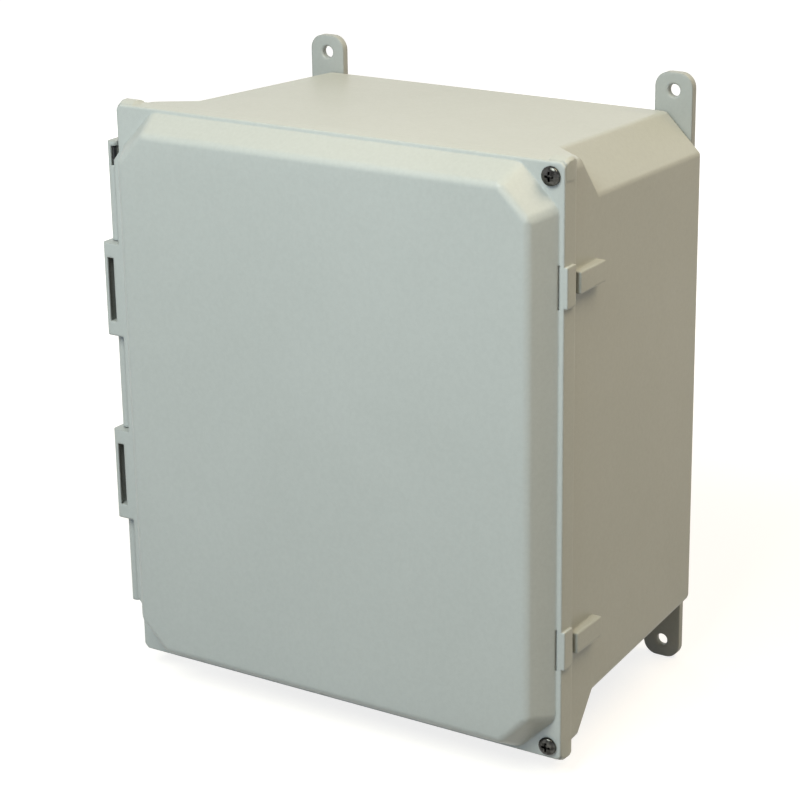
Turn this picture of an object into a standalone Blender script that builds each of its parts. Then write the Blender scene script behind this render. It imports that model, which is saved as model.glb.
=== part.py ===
"""Fiberglass wall enclosure: a moulded base, a hinged raised cover with two captive screws, and four feet.

Metres. X is the width, Y the depth (the front faces -Y) and Z is up. The origin is the centre of the base's
flat back face. A depth in this file is measured backwards from the front plane of the cover's flange.
"""

import math

import bmesh
import bpy
from mathutils import Matrix, Vector

# Overall sizes
FLANGE_WIDTH = 0.2900
FLANGE_HEIGHT = 0.3380
BODY_DEPTH = 0.1745

# Clearances between pieces
SEAT_GAP = 0.0003
SWING_GAP = 0.0010
PIN_GAP = 0.0003
SCREW_GAP = 0.0004
CUT_OVERRUN = 0.0010
UNION_OVERLAP = 0.0015

# Cover: flat flange with a skirt round it and a raised, bevelled middle
COVER_WALL = 0.0032
SKIRT_WALL = 0.0030
SKIRT_DEPTH = 0.0124
FLANGE_CORNER_CUT = 0.0022
FLANGE_EDGE_ROUND = 0.0010
LUG_LENGTH = 0.0100
LUG_SLANT = 0.0030
LUG_CORNER_CUT = 0.0016
LUG_PROUD_X = 0.0007
LUG_PROUD_Z = 0.0017
LUG_SWELLS = ((0.12, 0.10), (0.38, 0.90), (0.74, 1.00), (0.96, 0.45))
SCREW_CORNER_CUT = 0.0205
DOME_HEIGHT = 0.0170
DOME_INSET_X = 0.0031
DOME_INSET_Z = 0.0020
DOME_BEVEL_RUN = 0.0092
DOME_CORNER_CUT = 0.0225
DOME_EDGE_ROUND = 0.0034
DOME_LEDGE = 0.0042
DOME_INNER_RUN = 0.0068

# Base: tongue under the gasket, drafted walls, square screw corners that run into cut corners
TONGUE_WALL = 0.0030
BODY_INSET = 0.0020
SIDE_DRAFT = 0.0054
END_DRAFT = 0.0077
BOSS_CORNER_CUT = 0.0032
BOSS_END_DEPTH = 0.0248
FACET_END_DEPTH = 0.0424
BODY_CORNER_CUT = 0.0228
BACK_CORNER_CUT = 0.0222
SIDE_WALL_AT_BACK = 0.0035
FLOOR_WALL = 0.0038
BODY_EDGE_ROUND = 0.0018
BACK_EDGE_ROUND = 0.0028
CAVITY_ROUND = 0.0030

# Gasket strip between the cover's flange and the base's tongue
GASKET_THICKNESS = 0.0027

# Hinge on the left: cover loops between base knuckles, on one long pin
HINGE_OUTBOARD = 0.0105
HINGE_DEPTH = 0.0086
LOOP_RADIUS = 0.0060
LOOP_HEIGHT = 0.0560
LOOP_CENTRE_Z = 0.0577
LOOP_CORNER_RADIUS = 0.0030
LOOP_END_ROUND = 0.0012
LOOP_SLOT_WIDTH = 0.0045
LOOP_SLOT_HEIGHT = 0.0388
LOOP_LIP = 0.0014
LOOP_HOLLOW_WIDTH = 0.0064
LOOP_BACK_WALL = 0.0030
KNUCKLE_RADIUS = 0.0033
KNUCKLE_FROM_TOP = 0.0240
KNUCKLE_FROM_BOTTOM = 0.0275
KNUCKLE_GAP = 0.0005
HINGE_ARM_THICKNESS = 0.0034
WINDOW_HEIGHT = 0.0115
WINDOW_END_WALL = 0.0025
STRIP_WIDTH = 0.0040
STRIP_FROM_END = 0.0330
STRIP_SLANT = 0.0050
STRIP_STEP = 0.0001
PIN_RADIUS = 0.0016
PIN_CHAMFER = 0.0004
PIN_END_WALL = 0.0030

# Latch features on the right: pads on the cover's edge, blocks on the base, hook grooves in the flange
LATCH_FROM_END = 0.0664
PAD_HEIGHT = 0.0225
PAD_DEPTH = 0.0095
PAD_PROUD = 0.0020
PAD_ROUND = 0.0005
BLOCK_HEIGHT = 0.0120
BLOCK_FRONT_DEPTH = 0.0131
BLOCK_BACK_DEPTH = 0.0412
BLOCK_PROUD = 0.0028
BLOCK_ROUND = 0.0007
GROOVE_LENGTH = 0.0240
GROOVE_WIDTH = 0.0010
GROOVE_DEPTH = 0.0006

# Cover screws in the two right-hand corners
SCREW_FROM_SIDE = 0.0078
SCREW_FROM_END = 0.0076
SCREW_SHANK_RADIUS = 0.0021
SCREW_HEAD_RADIUS = 0.0053
SCREW_HEAD_HEIGHT = 0.0030
SCREW_RIM_HEIGHT = 0.0011
SCREW_LENGTH = 0.0192
SCREW_TIP_CHAMFER = 0.0007
RECESS_LENGTH = 0.0054
RECESS_WIDTH = 0.0011
RECESS_DEPTH = 0.0016
RETAINER_RADIUS = 0.0042
RETAINER_THICKNESS = 0.0010
SCREW_WELL_RADIUS = 0.0046
SCREW_WELL_ROOF = 0.0007

# Threaded inserts
INSERT_RADIUS = 0.0035
INSERT_LENGTH = 0.0095
INSERT_FLANK = 0.0004
INSERT_END_WALL = 0.0008

# Posts on the inside of the base's floor
PANEL_POST_FROM_SIDE = 0.0331
PANEL_POST_FROM_END = 0.0293
PANEL_POST_HEIGHT = 0.0120
PANEL_POST_RADIUS = 0.0070
POST_DRAFT = 0.0006
FOOT_POST_RADIUS = 0.0064
FOOT_POST_HEIGHT = 0.0088

# Mounting feet behind the four corners
FOOT_FROM_SIDE = 0.0187
FOOT_HOLE_BEYOND_END = 0.0117
FOOT_SCREW_FROM_END = 0.0163
FOOT_WIDTH = 0.0236
FOOT_CORNER_RADIUS = 0.0086
FOOT_END_BEYOND_HOLE = 0.0104
FOOT_END_BEYOND_SCREW = 0.0115
FOOT_THICKNESS = 0.0048
FOOT_EDGE_ROUND = 0.0010
FOOT_HOLE_RADIUS = 0.0037
FOOT_HOLE_BEVEL = 0.0008
FOOT_SCREW_HEAD_RADIUS = 0.0044
FOOT_SCREW_HEAD_HEIGHT = 0.0024
FOOT_SCREW_RIM = 0.0003
FOOT_SCREW_LENGTH = 0.0125
FOOT_SCREW_SUNK = 0.0002

# Facets of round pieces
ROUND_STEPS = 22
SMALL_STEPS = 20
ARC_STEPS = 10

# Places worked out from the sizes above
FRONT_Y = -BODY_DEPTH
SHOULDER_DEPTH = SKIRT_DEPTH + SEAT_GAP
TONGUE_FRONT_DEPTH = COVER_WALL + SEAT_GAP + GASKET_THICKNESS + SEAT_GAP
BACK_HALF_WIDTH = FLANGE_WIDTH / 2 - BODY_INSET - SIDE_DRAFT
BACK_HALF_HEIGHT = FLANGE_HEIGHT / 2 - BODY_INSET - END_DRAFT
KNUCKLE_TOP_Z = FLANGE_HEIGHT / 2 - KNUCKLE_FROM_TOP
KNUCKLE_BOTTOM_Z = KNUCKLE_FROM_BOTTOM - FLANGE_HEIGHT / 2
STRIP_END_Z = FLANGE_HEIGHT / 2 - STRIP_FROM_END
LATCH_Z = FLANGE_HEIGHT / 2 - LATCH_FROM_END
PANEL_POST_X = BACK_HALF_WIDTH - PANEL_POST_FROM_SIDE
PANEL_POST_Z = BACK_HALF_HEIGHT - PANEL_POST_FROM_END
FOOT_X = BACK_HALF_WIDTH - FOOT_FROM_SIDE
FOOT_SCREW_Z = BACK_HALF_HEIGHT - FOOT_SCREW_FROM_END
FOOT_HOLE_Z = BACK_HALF_HEIGHT + FOOT_HOLE_BEYOND_END
HINGE_X = -FLANGE_WIDTH / 2 - HINGE_OUTBOARD
HINGE_Y = FRONT_Y + HINGE_DEPTH
SCREW_X = FLANGE_WIDTH / 2 - SCREW_FROM_SIDE
SCREW_Z = FLANGE_HEIGHT / 2 - SCREW_FROM_END
SIDES = {"upper": 1, "lower": -1}
CORNERS = {"top_left": (-1, 1), "top_right": (1, 1), "bottom_left": (-1, -1), "bottom_right": (1, -1)}


def collection(name, parent):
    made = bpy.data.collections.new(name)
    parent.children.link(made)
    return made


def clear_scene():
    for old in list(bpy.data.objects):
        bpy.data.objects.remove(old, do_unlink=True)


clear_scene()
PARTS = collection("fiberglass_enclosure", bpy.context.scene.collection)
CUTTERS = collection("cutters", bpy.context.scene.collection)


def material(name, color, roughness, metallic=0.0):
    made = bpy.data.materials.new(name)
    made.use_nodes = True
    shader = made.node_tree.nodes["Principled BSDF"]
    shader.inputs["Base Color"].default_value = (*color, 1.0)
    shader.inputs["Roughness"].default_value = roughness
    shader.inputs["Metallic"].default_value = metallic
    return made


FIBERGLASS = material("fiberglass_grey", (0.42, 0.48, 0.46), 0.42)
FOOT_PLASTIC = material("foot_grey", (0.40, 0.46, 0.45), 0.45)
FOAM = material("gasket_foam", (0.03, 0.03, 0.03), 0.85)
STAINLESS = material("stainless_steel", (0.62, 0.61, 0.59), 0.22, 1.0)
BRASS = material("insert_brass", (0.66, 0.50, 0.22), 0.35, 1.0)
PIN_PLASTIC = material("pin_black", (0.02, 0.02, 0.02), 0.40)
RETAINER_NYLON = material("retainer_nylon", (0.75, 0.74, 0.70), 0.50)


def at_depth(depth):
    """World Y of the plane that lies this far behind the flange's front."""
    return FRONT_Y + depth


def add_object(name, mesh, home, paint=None):
    made = bpy.data.objects.new(name, mesh)
    home.objects.link(made)
    if paint:
        mesh.materials.append(paint)
    else:
        made.hide_render = True
        made.display_type = "WIRE"
    return made


def mesh_from(bm, name):
    bmesh.ops.recalc_face_normals(bm, faces=bm.faces)
    mesh = bpy.data.meshes.new(name)
    bm.to_mesh(mesh)
    bm.free()
    return mesh


def octagon(half_width, half_height, cut, y):
    """A rectangle with its four corners cut at 45 degrees, in the plane Y = y."""
    w, h, c = half_width, half_height, cut
    quarter = [(w, h - c), (w - c, h)]
    half = quarter + [(-x, z) for x, z in reversed(quarter)]
    outline = half + [(-x, -z) for x, z in half]
    return [Vector((x, y, z)) for x, z in outline]


def inset_cut(cut, inset):
    """The corner cut of an octagon whose eight sides have all moved inwards by inset."""
    return cut - inset * (2 - math.sqrt(2))


def loft(name, rings, home, paint, closed=False):
    """A closed body through rings: (points, rounding round the ring, rounding on to the next ring)."""
    bm = bmesh.new()
    rows = [[bm.verts.new(point) for point in points] for points, _, _ in rings]
    widest = max(max(around, along) for _, around, along in rings)
    weight = bm.edges.layers.float.new("bevel_weight_edge")
    count = len(rows[0])
    pairs = list(zip(rows, rows[1:]))
    if closed:
        pairs.append((rows[-1], rows[0]))
    else:
        bm.faces.new(rows[0])
        bm.faces.new(rows[-1])
    for near, far in pairs:
        for i in range(count):
            j = (i + 1) % count
            bm.faces.new((near[i], near[j], far[j], far[i]))
    if widest:
        for row, (_, around, along) in zip(rows, rings):
            for vert in row:
                for edge in vert.link_edges:
                    other = edge.other_vert(vert)
                    if other in row:
                        edge[weight] = around / widest
            for vert, ahead in zip(row, rows[(rows.index(row) + 1) % len(rows)]):
                edge = bm.edges.get((vert, ahead))
                if edge:
                    edge[weight] = along / widest
    made = add_object(name, mesh_from(bm, name), home, paint)
    if widest:
        rounding = made.modifiers.new("rounding", "BEVEL")
        rounding.limit_method = "WEIGHT"
        rounding.width = widest
        rounding.segments = 3
    return made


def round_edges(target, width, limit=30):
    edge = target.modifiers.new("rounding", "BEVEL")
    edge.width = width
    edge.segments = 2
    edge.limit_method = "ANGLE"
    edge.angle_limit = math.radians(limit)


def block(name, low, high, home, rounding=0.0):
    bm = bmesh.new()
    bmesh.ops.create_cube(bm, size=1)
    size = Vector(high) - Vector(low)
    middle = (Vector(high) + Vector(low)) / 2
    bmesh.ops.transform(bm, matrix=Matrix.Translation(middle) @ Matrix.Diagonal((*size, 1)), verts=bm.verts)
    made = add_object(name, mesh_from(bm, name), home)
    if rounding:
        round_edges(made, rounding)
    return made


def rod(name, start, end, radius, home, end_radius=None, steps=ROUND_STEPS):
    """A round bar or cone from start to end, used as a post or a cutter."""
    start, end = Vector(start), Vector(end)
    bm = bmesh.new()
    turn = (end - start).to_track_quat("Z", "Y").to_matrix().to_4x4()
    place = Matrix.Translation((start + end) / 2) @ turn
    last = radius if end_radius is None else end_radius
    bmesh.ops.create_cone(
        bm,
        cap_ends=True,
        segments=steps,
        radius1=radius,
        radius2=last,
        depth=(end - start).length,
        matrix=place,
    )
    return add_object(name, mesh_from(bm, name), home)


def flat_outline(name, points, thickness, home, paint=None):
    """A closed outline in local XY, made a solid of this thickness centred on it."""
    curve = bpy.data.curves.new(name, "CURVE")
    curve.dimensions = "2D"
    curve.fill_mode = "BOTH"
    curve.extrude = thickness / 2
    spline = curve.splines.new("POLY")
    spline.points.add(len(points) - 1)
    for slot, (x, y) in zip(spline.points, points):
        slot.co = (x, y, 0, 1)
    spline.use_cyclic_u = True
    drawn = bpy.data.objects.new(name + "_outline", curve)
    CUTTERS.objects.link(drawn)
    graph = bpy.context.evaluated_depsgraph_get()
    bm = bmesh.new()
    flat = bpy.data.meshes.new_from_object(drawn.evaluated_get(graph))
    bm.from_mesh(flat)
    bmesh.ops.remove_doubles(bm, verts=bm.verts, dist=CUT_OVERRUN / 100)
    bpy.data.objects.remove(drawn)
    bpy.data.curves.remove(curve)
    bpy.data.meshes.remove(flat)
    return add_object(name, mesh_from(bm, name), home, paint)


def turned(name, profile, home, paint=None, ring=False, steps=ROUND_STEPS):
    """A turned piece from (radius, height) points down its outer side; a ring's profile closes on itself."""
    bm = bmesh.new()
    verts = [bm.verts.new((radius, 0, height)) for radius, height in profile]
    for a, b in zip(verts, verts[1:]):
        bm.edges.new((a, b))
    if ring:
        bm.edges.new((verts[-1], verts[0]))
    mesh = bpy.data.meshes.new(name)
    bm.to_mesh(mesh)
    bm.free()
    made = add_object(name, mesh, home, paint)
    screw = made.modifiers.new("turn", "SCREW")
    screw.axis = "Z"
    screw.steps = steps
    screw.render_steps = steps
    screw.use_merge_vertices = True
    screw.merge_threshold = 0.00001
    return made


def arc(centre, radius, start, end, steps=ARC_STEPS):
    """Points on a circle from one angle to another, in degrees."""
    turns = [math.radians(start + (end - start) * i / steps) for i in range(steps + 1)]
    return [(centre[0] + radius * math.cos(t), centre[1] + radius * math.sin(t)) for t in turns]


def boolean(target, operation, tools):
    made = target.modifiers.new(operation.lower(), "BOOLEAN")
    made.operation = operation
    made.solver = "EXACT"
    made.operand_type = "COLLECTION"
    made.collection = tools
    return made


def frozen_mesh(drawn, name):
    """The evaluated mesh of an object that several copies will share."""
    bpy.context.view_layer.update()
    graph = bpy.context.evaluated_depsgraph_get()
    mesh = bpy.data.meshes.new_from_object(drawn.evaluated_get(graph))
    mesh.name = name
    mesh.shade_smooth()
    mesh.set_sharp_from_angle(angle=math.radians(35))
    return mesh


def set_origin(target, point):
    target.data.transform(Matrix.Translation(-Vector(point)))
    target.location = point


def carry(parent, child):
    """Parents a piece that is already in its place."""
    child.parent = parent
    child.matrix_parent_inverse = Matrix.Translation(-parent.location)


def soften(target):
    target.data.shade_smooth()
    target.data.set_sharp_from_angle(angle=math.radians(30))


# Base


def body_half(depth):
    """Half width and half height of the drafted walls at this depth."""
    reach = (depth - SHOULDER_DEPTH) / (BODY_DEPTH - SHOULDER_DEPTH)
    width = FLANGE_WIDTH / 2 - BODY_INSET - SIDE_DRAFT * reach
    height = FLANGE_HEIGHT / 2 - BODY_INSET - END_DRAFT * reach
    return width, height


def skirt_inner(inset=0.0):
    """Half width, half height and corner cut of the skirt's inner face, moved inwards by inset."""
    away = SKIRT_WALL + inset
    return FLANGE_WIDTH / 2 - away, FLANGE_HEIGHT / 2 - away, inset_cut(SCREW_CORNER_CUT, inset)


def make_base():
    tools = collection("base_additions", CUTTERS)
    cuts = collection("base_cuts", CUTTERS)
    mouth = skirt_inner(SWING_GAP + TONGUE_WALL)
    tongue = skirt_inner(SWING_GAP)
    back = body_half(BODY_DEPTH)
    floor = (
        back[0] - SIDE_WALL_AT_BACK,
        back[1] - SIDE_WALL_AT_BACK,
        inset_cut(BACK_CORNER_CUT, SIDE_WALL_AT_BACK),
    )
    bosses = [
        (octagon(*body_half(depth), cut, at_depth(depth)), 0.0, BODY_EDGE_ROUND)
        for depth, cut in (
            (SHOULDER_DEPTH, BOSS_CORNER_CUT),
            (BOSS_END_DEPTH, BOSS_CORNER_CUT),
            (FACET_END_DEPTH, BODY_CORNER_CUT),
        )
    ]
    rings = [
        (octagon(*floor, -FLOOR_WALL), CAVITY_ROUND, CAVITY_ROUND),
        (octagon(*mouth, at_depth(TONGUE_FRONT_DEPTH)), 0.0, 0.0),
        (octagon(*tongue, at_depth(TONGUE_FRONT_DEPTH)), 0.0, 0.0),
        (octagon(*tongue, at_depth(SHOULDER_DEPTH)), 0.0, 0.0),
        *bosses,
        (octagon(*back, BACK_CORNER_CUT, 0.0), BACK_EDGE_ROUND, 0.0),
    ]
    base = loft("base", rings, PARTS, FIBERGLASS)
    add_posts(tools, cuts)
    add_latch_blocks(tools)
    add_knuckles(tools, cuts)
    add_screw_corners(cuts)
    boolean(base, "UNION", tools)
    boolean(base, "DIFFERENCE", cuts)
    return base


def add_posts(tools, cuts):
    """Posts on the floor: one carries a panel insert, one takes a foot's insert from behind."""
    bore = INSERT_RADIUS + PIN_GAP
    for name, (x, z) in CORNERS.items():
        low = -FLOOR_WALL / 2
        panel_top = -FLOOR_WALL - PANEL_POST_HEIGHT
        foot_top = -FLOOR_WALL - FOOT_POST_HEIGHT
        px, pz = x * PANEL_POST_X, z * PANEL_POST_Z
        fx, fz = x * FOOT_X, z * FOOT_SCREW_Z
        panel_foot = PANEL_POST_RADIUS + POST_DRAFT
        foot_foot = FOOT_POST_RADIUS + POST_DRAFT
        rod("panel_post_" + name, (px, low, pz), (px, panel_top, pz), panel_foot, tools, PANEL_POST_RADIUS)
        rod("foot_post_" + name, (fx, low, fz), (fx, foot_top, fz), foot_foot, tools, FOOT_POST_RADIUS)
        panel_bottom = panel_top + INSERT_LENGTH + INSERT_END_WALL
        foot_bottom = -INSERT_LENGTH - INSERT_END_WALL
        rod("panel_bore_" + name, (px, panel_top - CUT_OVERRUN, pz), (px, panel_bottom, pz), bore, cuts)
        rod("foot_bore_" + name, (fx, CUT_OVERRUN, fz), (fx, foot_bottom, fz), bore, cuts)


def add_latch_blocks(tools):
    """Blocks on the right wall, where a latch would be fixed."""
    wall = body_half(BLOCK_BACK_DEPTH)[0]
    outer = FLANGE_WIDTH / 2 + BLOCK_PROUD
    for name, side in SIDES.items():
        middle = side * LATCH_Z
        block(
            "latch_block_" + name,
            (wall - UNION_OVERLAP, at_depth(BLOCK_FRONT_DEPTH), middle - BLOCK_HEIGHT / 2),
            (outer, at_depth(BLOCK_BACK_DEPTH), middle + BLOCK_HEIGHT / 2),
            tools,
            BLOCK_ROUND,
        )


def knuckle_spans():
    """Height spans of the base's three knuckles, between and outside the cover's loops."""
    inner = LOOP_CENTRE_Z - LOOP_HEIGHT / 2 - KNUCKLE_GAP
    outer = LOOP_CENTRE_Z + LOOP_HEIGHT / 2 + KNUCKLE_GAP
    return {"lower": (KNUCKLE_BOTTOM_Z, -outer), "middle": (-inner, inner), "upper": (outer, KNUCKLE_TOP_Z)}


def pin_span():
    """The bore that the pin lies in, from its blind lower end to the top of the window."""
    return KNUCKLE_BOTTOM_Z + PIN_END_WALL, KNUCKLE_TOP_Z - WINDOW_END_WALL


def add_knuckles(tools, cuts):
    """Knuckles round the pin, on arms that leave the wall behind the skirt, and the window for the pin."""
    arm_front = SHOULDER_DEPTH + SEAT_GAP - HINGE_DEPTH
    arm_back = arm_front + HINGE_ARM_THICKNESS
    wall = -body_half(SHOULDER_DEPTH)[0] + UNION_OVERLAP - HINGE_X
    rim = arc((0, 0), KNUCKLE_RADIUS, 80, -180, 2 * ARC_STEPS)
    outline = rim + [(-KNUCKLE_RADIUS, arm_back), (wall, arm_back), (wall, arm_front), (rim[0][0], arm_front)]
    for name, (low, high) in knuckle_spans().items():
        knuckle = flat_outline("knuckle_" + name, outline, high - low, tools)
        knuckle.location = (HINGE_X, HINGE_Y, (low + high) / 2)
    low, high = pin_span()
    bore = PIN_RADIUS + PIN_GAP
    rod("pin_bore", (HINGE_X, HINGE_Y, low), (HINGE_X, HINGE_Y, high), bore, cuts, steps=SMALL_STEPS)
    block(
        "pin_window",
        (HINGE_X + PIN_GAP, HINGE_Y - KNUCKLE_RADIUS - CUT_OVERRUN, high - WINDOW_HEIGHT),
        (HINGE_X + KNUCKLE_RADIUS + CUT_OVERRUN, HINGE_Y + arm_front, high),
        cuts,
    )


def add_screw_corners(cuts):
    """Blind bores for the cover screws' inserts."""
    bore = INSERT_RADIUS + PIN_GAP
    for name, side in SIDES.items():
        start = (SCREW_X, at_depth(SHOULDER_DEPTH - CUT_OVERRUN), side * SCREW_Z)
        end = (SCREW_X, at_depth(SHOULDER_DEPTH + SEAT_GAP + INSERT_LENGTH + INSERT_END_WALL), side * SCREW_Z)
        rod("screw_bore_" + name, start, end, bore, cuts)


# Cover


def make_cover():
    tools = collection("cover_additions", CUTTERS)
    cuts = collection("cover_cuts", CUTTERS)
    ledge = skirt_inner(DOME_LEDGE)
    roof = (
        ledge[0] - DOME_INNER_RUN,
        ledge[1] - DOME_INNER_RUN,
        inset_cut(ledge[2], DOME_INNER_RUN),
    )
    flange = (FLANGE_WIDTH / 2, FLANGE_HEIGHT / 2, FLANGE_CORNER_CUT)
    foot = (FLANGE_WIDTH / 2 - DOME_INSET_X, FLANGE_HEIGHT / 2 - DOME_INSET_Z, DOME_CORNER_CUT)
    face = (foot[0] - DOME_BEVEL_RUN, foot[1] - DOME_BEVEL_RUN, inset_cut(DOME_CORNER_CUT, DOME_BEVEL_RUN))
    rings = [
        (octagon(*roof, at_depth(COVER_WALL - DOME_HEIGHT)), DOME_EDGE_ROUND, 0.0),
        (octagon(*ledge, at_depth(COVER_WALL)), 0.0, 0.0),
        (octagon(*skirt_inner(), at_depth(COVER_WALL)), 0.0, 0.0),
        (octagon(*skirt_inner(), at_depth(SKIRT_DEPTH)), 0.0, 0.0),
        (octagon(*flange, at_depth(SKIRT_DEPTH)), FLANGE_EDGE_ROUND, FLANGE_EDGE_ROUND),
        (octagon(*flange, at_depth(0.0)), FLANGE_EDGE_ROUND, 0.0),
        (octagon(*foot, at_depth(0.0)), 0.0, DOME_EDGE_ROUND),
        (octagon(*face, at_depth(-DOME_HEIGHT)), DOME_EDGE_ROUND, 0.0),
    ]
    cover = loft("cover", rings, PARTS, FIBERGLASS)
    add_corner_lugs(tools)
    add_hinge_strip(tools)
    add_loops(tools, cuts)
    add_latch_pads(tools, cuts)
    add_screw_wells(cuts)
    set_origin(cover, (HINGE_X, HINGE_Y, 0.0))
    boolean(cover, "UNION", tools)
    boolean(cover, "DIFFERENCE", cuts)
    return cover


def add_corner_lugs(tools):
    """The skirt's four corners swell: most above or below, a little to the side, and not at its two edges."""
    width, height = FLANGE_WIDTH / 2, FLANGE_HEIGHT / 2
    inside = SKIRT_WALL / 2
    for name, (side, end) in CORNERS.items():
        rings = []
        for depth, swell in LUG_SWELLS:
            x, z = width + LUG_PROUD_X * swell, height + LUG_PROUD_Z * swell
            outline = [
                (width - LUG_LENGTH - LUG_SLANT, height - inside),
                (width - LUG_LENGTH, z),
                (x - LUG_CORNER_CUT, z),
                (x, z - LUG_CORNER_CUT),
                (x, height - LUG_LENGTH),
                (width - inside, height - LUG_LENGTH - LUG_SLANT),
            ]
            y = at_depth(SKIRT_DEPTH * depth)
            rings.append(([Vector((side * px, y, end * pz)) for px, pz in outline], 0.0, 0.0))
        loft("corner_lug_" + name, rings, tools, None)


def add_hinge_strip(tools):
    """The flange's wider stretch along the hinge, with slanted ends."""
    edge = -FLANGE_WIDTH / 2
    inside = edge + SKIRT_WALL / 2
    ends = STRIP_END_Z + STRIP_SLANT
    outline = [
        (inside, -ends - UNION_OVERLAP),
        (inside, ends + UNION_OVERLAP),
        (edge, ends),
        (edge - STRIP_WIDTH, STRIP_END_Z),
        (edge - STRIP_WIDTH, -STRIP_END_Z),
        (edge, -ends),
    ]
    thickness = SKIRT_DEPTH - 2 * STRIP_STEP
    strip = flat_outline("hinge_strip", outline, thickness, tools)
    strip.rotation_euler = (math.pi / 2, 0, 0)
    strip.location = (0, at_depth(SKIRT_DEPTH / 2), 0)
    round_edges(strip, FLANGE_EDGE_ROUND, 60)


def add_loops(tools, cuts):
    """Loops that bear on the pin at their ends, hollow between, with a flat front and a tall slot in it."""
    bore = PIN_RADIUS + PIN_GAP
    for name, side in SIDES.items():
        middle = side * LOOP_CENTRE_Z
        low, high = middle - LOOP_HEIGHT / 2, middle + LOOP_HEIGHT / 2
        reach = -FLANGE_WIDTH / 2 + SKIRT_WALL / 2 - HINGE_X
        front = STRIP_STEP - HINGE_DEPTH
        back = SKIRT_DEPTH - STRIP_STEP - HINGE_DEPTH
        end = math.degrees(math.asin(back / LOOP_RADIUS)) - 360
        corner = (LOOP_CORNER_RADIUS - LOOP_RADIUS, LOOP_CORNER_RADIUS + front)
        outline = [(reach, back), (reach, front)] + arc(corner, LOOP_CORNER_RADIUS, -90, -180)
        outline += arc((0, 0), LOOP_RADIUS, -180, end, 2 * ARC_STEPS)
        loop = flat_outline("loop_" + name, outline, LOOP_HEIGHT, tools)
        loop.location = (HINGE_X, HINGE_Y, middle)
        round_edges(loop, LOOP_END_ROUND, 60)
        rod(
            "loop_bore_" + name,
            (HINGE_X, HINGE_Y, low - CUT_OVERRUN),
            (HINGE_X, HINGE_Y, high + CUT_OVERRUN),
            bore,
            cuts,
            steps=SMALL_STEPS,
        )
        base_z, top_z = middle - LOOP_SLOT_HEIGHT / 2, middle + LOOP_SLOT_HEIGHT / 2
        half_slot, half_hollow = LOOP_SLOT_WIDTH / 2, LOOP_HOLLOW_WIDTH / 2
        hollow_back = HINGE_Y + LOOP_RADIUS - LOOP_BACK_WALL
        block(
            "loop_slot_" + name,
            (HINGE_X - half_slot, at_depth(-CUT_OVERRUN), base_z),
            (HINGE_X + half_slot, hollow_back, top_z),
            cuts,
        )
        block(
            "loop_hollow_" + name,
            (HINGE_X - half_hollow, at_depth(LOOP_LIP), base_z),
            (HINGE_X + half_hollow, hollow_back, top_z),
            cuts,
        )


def add_latch_pads(tools, cuts):
    """Pads on the cover's right edge, and the grooves beside them that a latch hook bears on."""
    edge = FLANGE_WIDTH / 2
    for name, side in SIDES.items():
        middle = side * LATCH_Z
        block(
            "latch_pad_" + name,
            (edge - SKIRT_WALL / 2, at_depth(STRIP_STEP), middle - PAD_HEIGHT / 2),
            (edge + PAD_PROUD, at_depth(PAD_DEPTH), middle + PAD_HEIGHT / 2),
            tools,
            PAD_ROUND,
        )
        foot = edge - DOME_INSET_X
        block(
            "hook_groove_" + name,
            (foot - GROOVE_WIDTH / 2, at_depth(-GROOVE_DEPTH), middle - GROOVE_LENGTH / 2),
            (foot + GROOVE_WIDTH / 2, at_depth(GROOVE_DEPTH), middle + GROOVE_LENGTH / 2),
            cuts,
        )


def add_screw_wells(cuts):
    """Clearance holes for the captive screws, and the wells that their retainers travel in."""
    for name, side in SIDES.items():
        z = side * SCREW_Z
        hole = SCREW_SHANK_RADIUS + SCREW_GAP
        front = at_depth(-CUT_OVERRUN)
        top = at_depth(COVER_WALL + SCREW_WELL_ROOF)
        bottom = at_depth(SKIRT_DEPTH + CUT_OVERRUN)
        rod("screw_hole_" + name, (SCREW_X, front, z), (SCREW_X, bottom, z), hole, cuts)
        rod("screw_well_" + name, (SCREW_X, top, z), (SCREW_X, bottom, z), SCREW_WELL_RADIUS, cuts)


def make_gasket():
    """A strip between the flange and the tongue, all the way round inside the skirt."""
    outer = skirt_inner(SEAT_GAP)
    inner = skirt_inner(DOME_LEDGE - SEAT_GAP)
    front = at_depth(COVER_WALL + SEAT_GAP)
    back = at_depth(COVER_WALL + SEAT_GAP + GASKET_THICKNESS)
    rings = [(octagon(*outer, front), 0.0, 0.0), (octagon(*outer, back), 0.0, 0.0)]
    rings += [(octagon(*inner, back), 0.0, 0.0), (octagon(*inner, front), 0.0, 0.0)]
    return loft("gasket", rings, PARTS, FOAM, closed=True)


# Fasteners


def cross_recess(screw_name, head_top):
    """Two crossed blades that cut a drive recess down into a head."""
    tools = collection(screw_name + "_recess", CUTTERS)
    long, wide = RECESS_LENGTH / 2, RECESS_WIDTH / 2
    low, high = head_top - RECESS_DEPTH, head_top + CUT_OVERRUN
    block(screw_name + "_blade_a", (-long, -wide, low), (long, wide, high), tools)
    block(screw_name + "_blade_b", (-wide, -long, low), (wide, long, high), tools)
    return tools


def screw_mesh(name, profile, head_top):
    drawn = turned(name, profile, CUTTERS)
    drawn.data.materials.append(STAINLESS)
    boolean(drawn, "DIFFERENCE", cross_recess(name, head_top))
    mesh = frozen_mesh(drawn, name)
    bpy.data.objects.remove(drawn)
    return mesh


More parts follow.
